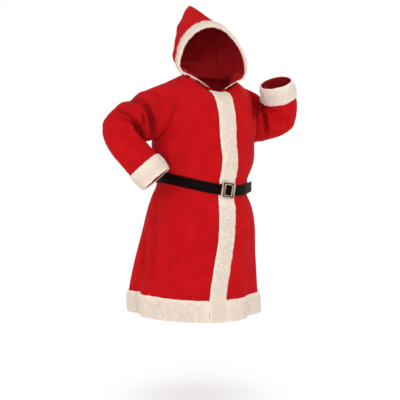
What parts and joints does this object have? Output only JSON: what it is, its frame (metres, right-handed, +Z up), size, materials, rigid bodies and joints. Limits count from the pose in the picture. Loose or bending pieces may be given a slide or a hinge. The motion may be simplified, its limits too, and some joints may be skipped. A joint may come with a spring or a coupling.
{
  "type": "santa suit",
  "caption": "Long hooded plush coat of a santa costume, worn and hollow, fur along the front, hem, cuffs and hood, with its own buckled belt.",
  "frame": {"origin": "middle of the neck base at the height of the shoulder seams, where the wearer's shoulders hold the coat", "axes": "+Z up along the wearer's body, -Y out of the coat's front, +X towards the wearer's left"},
  "size_m": [0.9594, 0.5613, 1.532],
  "materials": {
    "red_plush": "soft short-pile plush",
    "white_fur": "short faux fur",
    "belt_leather": "smooth, semi-gloss",
    "buckle_metal": "antique, satin"
  },
  "bodies": {
    "root": {"back": "red_plush", "front_left": "red_plush", "front_right": "red_plush", "sleeve_left": "red_plush", "sleeve_right": "red_plush", "hood_left": "red_plush", "hood_right": "red_plush", "front_fur": "white_fur", "hem_fur_left": "white_fur", "hem_fur_right": "white_fur", "hem_fur_back": "white_fur", "cuff_fur_left": "white_fur", "cuff_fur_right": "white_fur", "hood_fur": "white_fur", "belt_strap": "belt_leather", "buckle": "buckle_metal"}
  },
  "joints": []
}
